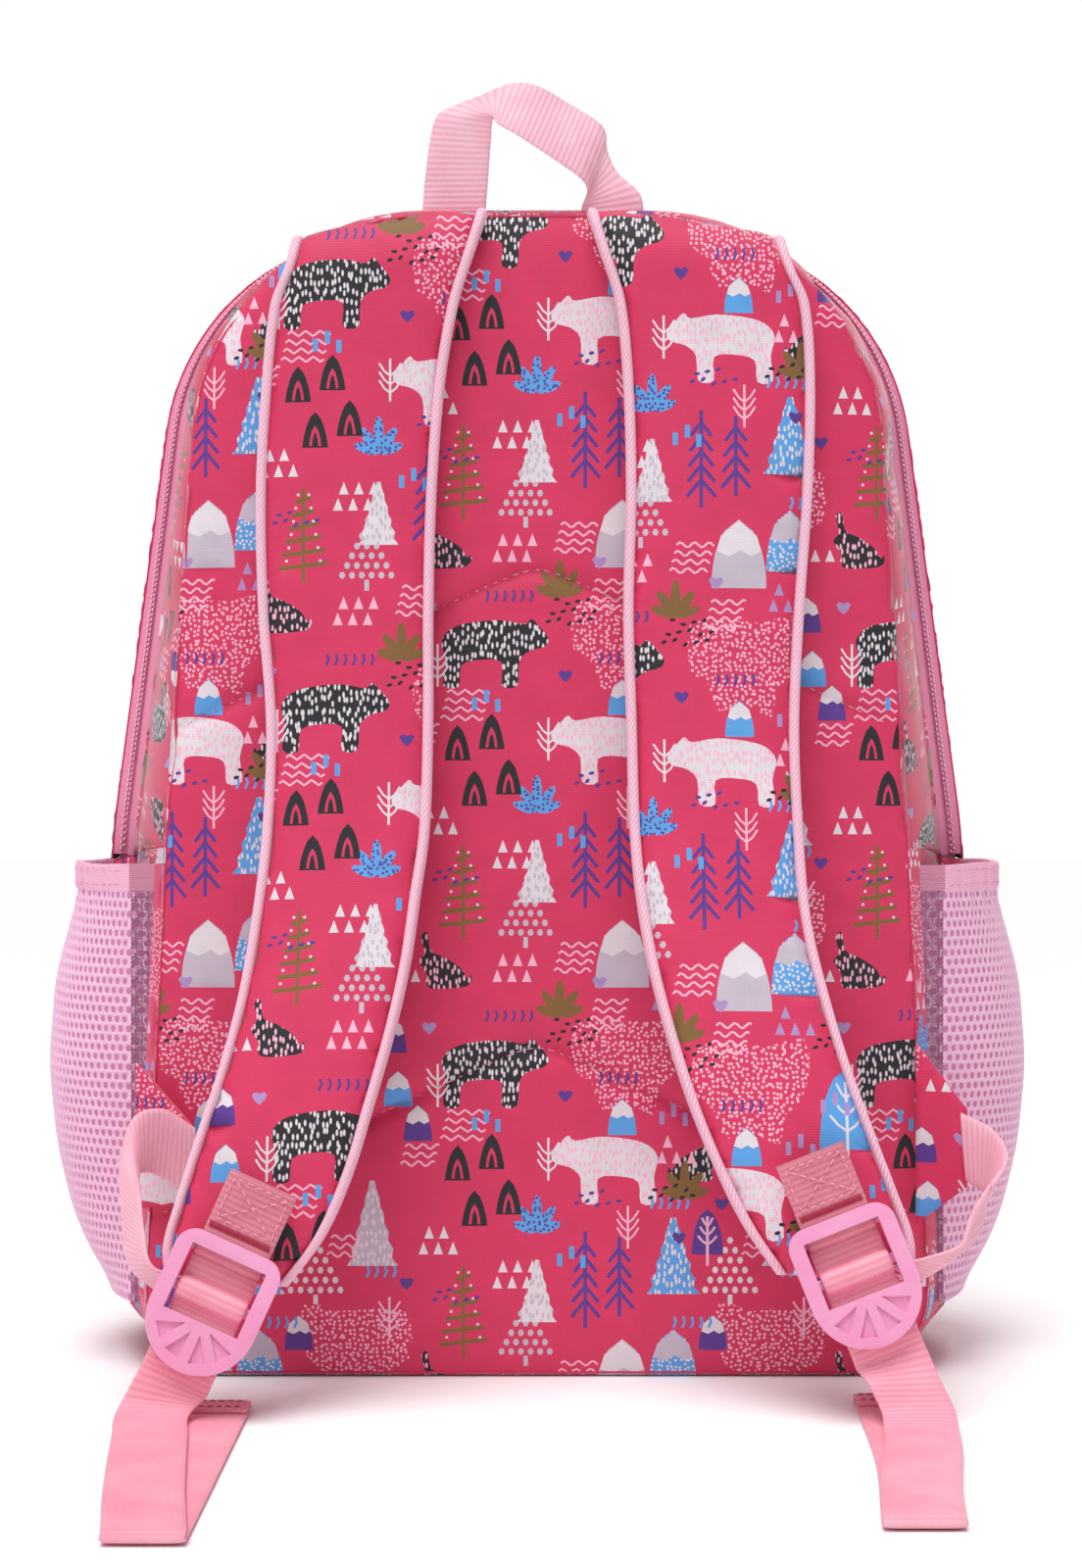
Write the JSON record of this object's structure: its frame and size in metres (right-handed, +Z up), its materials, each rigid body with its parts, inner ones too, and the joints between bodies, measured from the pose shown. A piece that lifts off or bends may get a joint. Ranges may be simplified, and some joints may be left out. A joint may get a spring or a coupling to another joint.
{
  "type": "school backpack",
  "caption": "Child's zipped school backpack with padded shoulder straps, mesh side pockets, a front pocket and a haul loop.",
  "frame": {"origin": "centre of the base's underside", "axes": "+Z up; the back panel with the shoulder straps faces -Y, the front pocket faces +Y"},
  "size_m": [0.365, 0.3653, 0.4615],
  "materials": {
    "printed_polyester": "matte printed plain weave",
    "foam": "matte",
    "lining": "plain woven",
    "zip_tape": "woven tape",
    "zip_coil": "moulded coil",
    "zip_metal": "painted die casting",
    "air_mesh": "knitted mesh",
    "elastic": "ribbed elastic",
    "webbing": "ribbed webbing",
    "binding": "folded tape",
    "buckle_plastic": "satin moulded"
  },
  "bodies": {
    "root": {"back_panel_cover": "printed_polyester", "back_panel_foam": "foam", "back_panel_lining": "lining", "base_panel": "printed_polyester", "side_panel_left": "printed_polyester", "side_panel_right": "printed_polyester", "rear_gusset": "printed_polyester", "zip_tape_rear": "zip_tape", "zip_coil_rear": "zip_coil", "main_lining": "lining", "front_lining_lower": "lining", "front_panel_lower": "printed_polyester", "front_pocket_panel": "printed_polyester", "front_pocket_gusset": "printed_polyester", "front_pocket_zip_tapes": "zip_tape", "front_pocket_zip_coil": "zip_coil", "side_pocket_mesh_left": "air_mesh", "side_pocket_mesh_right": "air_mesh", "side_pocket_elastic_left": "elastic", "side_pocket_elastic_right": "elastic", "strap_wing_left": "printed_polyester", "strap_wing_right": "printed_polyester", "adjuster_webbing_left": "webbing", "adjuster_webbing_right": "webbing"},
    "flap": {"flap_gusset": "printed_polyester", "zip_tape_front": "zip_tape", "zip_coil_front": "zip_coil", "flap_lining": "lining", "front_lining_upper": "lining", "front_panel_upper": "printed_polyester"},
    "main_slider_left": {"main_slider_left": "zip_metal"},
    "main_slider_right": {"main_slider_right": "zip_metal"},
    "main_pull_left": {"main_pull_left": "zip_metal"},
    "main_pull_right": {"main_pull_right": "zip_metal"},
    "pocket_slider": {"front_pocket_slider": "zip_metal"},
    "pocket_pull": {"front_pocket_pull": "zip_metal"},
    "haul_loop": {"haul_loop": "webbing"},
    "strap_left": {"strap_cover_left": "printed_polyester", "strap_foam_left": "foam", "strap_lining_left": "air_mesh", "strap_binding_left": "binding", "buckle_loop_left": "webbing"},
    "lock_left": {"ladder_lock_left": "buckle_plastic", "webbing_tail_left": "webbing"},
    "strap_right": {"strap_cover_right": "printed_polyester", "strap_foam_right": "foam", "strap_lining_right": "air_mesh", "strap_binding_right": "binding", "buckle_loop_right": "webbing"},
    "lock_right": {"ladder_lock_right": "buckle_plastic", "webbing_tail_right": "webbing"}
  },
  "joints": [
    {"name": "flap_open", "type": "hinge", "parent": "root", "child": "flap", "pos_m": [0, 0.0615, 0.183], "axis": [-1, 0, 0], "range_deg": [0, 80]},
    {"name": "main_slider_left_run", "type": "slide", "parent": "root", "child": "main_slider_left", "axis": [-1, 0, 0], "range_m": [0, 0.03]},
    {"name": "main_slider_right_run", "type": "slide", "parent": "root", "child": "main_slider_right", "axis": [1, 0, 0], "range_m": [0, 0.03]},
    {"name": "main_pull_left_swing", "type": "hinge", "parent": "main_slider_left", "child": "main_pull_left", "pos_m": [-0.0065, 0, 0.4219], "axis": [0, 1, 0], "range_deg": [0, 85]},
    {"name": "main_pull_right_swing", "type": "hinge", "parent": "main_slider_right", "child": "main_pull_right", "pos_m": [0.0065, 0, 0.4219], "axis": [0, -1, 0], "range_deg": [0, 85]},
    {"name": "pocket_slider_run", "type": "slide", "parent": "root", "child": "pocket_slider", "axis": [1, 0, 0], "range_m": [0, 0.15]},
    {"name": "pocket_pull_swing", "type": "hinge", "parent": "pocket_slider", "child": "pocket_pull", "pos_m": [-0.0755, 0.078, 0.1459], "axis": [0, -1, 0], "range_deg": [0, 150]},
    {"name": "haul_loop_swing", "type": "hinge", "parent": "root", "child": "haul_loop", "pos_m": [-0.001, -0.051, 0.4134], "axis": [-1, 0, 0], "range_deg": [-60, 60], "stiffness_Nm_per_rad": 0.01},
    {"name": "strap_left_swing", "type": "hinge", "parent": "root", "child": "strap_left", "pos_m": [-0.052, -0.0695, 0.405], "axis": [-1, 0, 0], "range_deg": [0, 12]},
    {"name": "lock_left_tilt", "type": "hinge", "parent": "strap_left", "child": "lock_left", "pos_m": [-0.1015, -0.121, 0.0526], "axis": [-0.9107, 0, 0.4131], "range_deg": [0, 15]},
    {"name": "strap_right_swing", "type": "hinge", "parent": "root", "child": "strap_right", "pos_m": [0.052, -0.0695, 0.405], "axis": [-1, 0, 0], "range_deg": [0, 12]},
    {"name": "lock_right_tilt", "type": "hinge", "parent": "strap_right", "child": "lock_right", "pos_m": [0.1005, -0.1198, 0.0615], "axis": [-0.9304, 0, -0.3665], "range_deg": [0, 15]}
  ]
}
